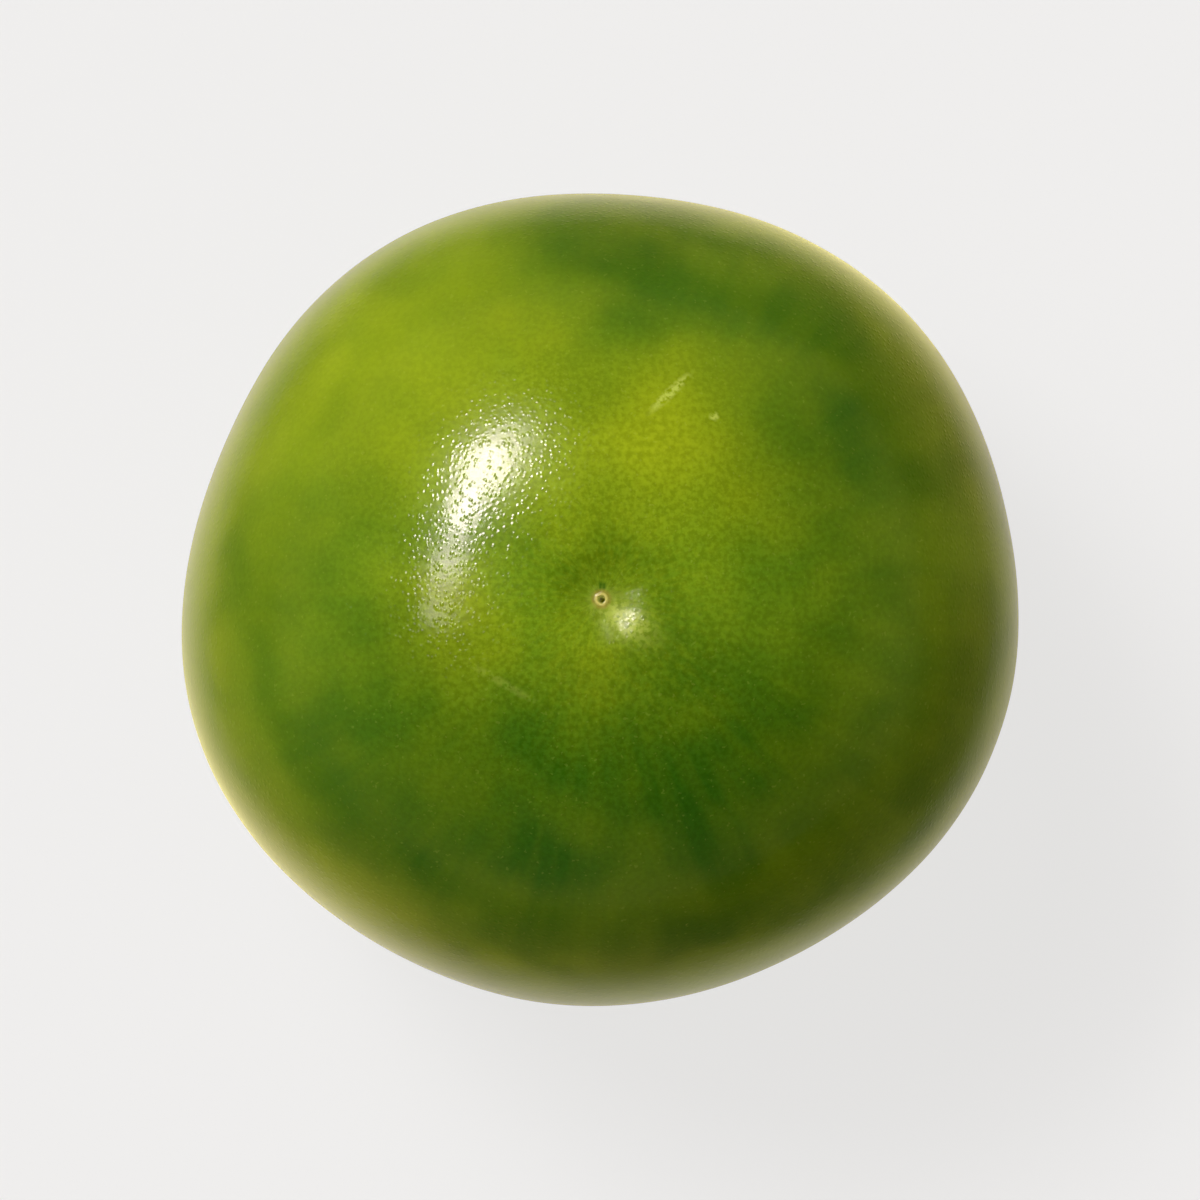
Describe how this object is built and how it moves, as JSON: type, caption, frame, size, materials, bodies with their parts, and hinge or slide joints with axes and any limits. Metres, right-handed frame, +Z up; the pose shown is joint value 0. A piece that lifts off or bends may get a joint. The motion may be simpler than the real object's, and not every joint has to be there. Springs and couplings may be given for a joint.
{
  "type": "tomatillo",
  "caption": "Husked tomatillo: a firm, glossy, slightly flattened green berry that rests on the shoulders round its stem end, blossom end up.",
  "frame": {"origin": "under the middle of the fruit's box, on the surface that it rests on", "axes": "+Z up from the stem end to the blossom end, +X along the widest way across, +Y across that"},
  "size_m": [0.0546, 0.053, 0.0484],
  "materials": {
    "skin": "waxy, slightly sticky natural skin, glossy with very fine pores"
  },
  "bodies": {
    "root": {"tomatillo": "skin"}
  },
  "joints": []
}
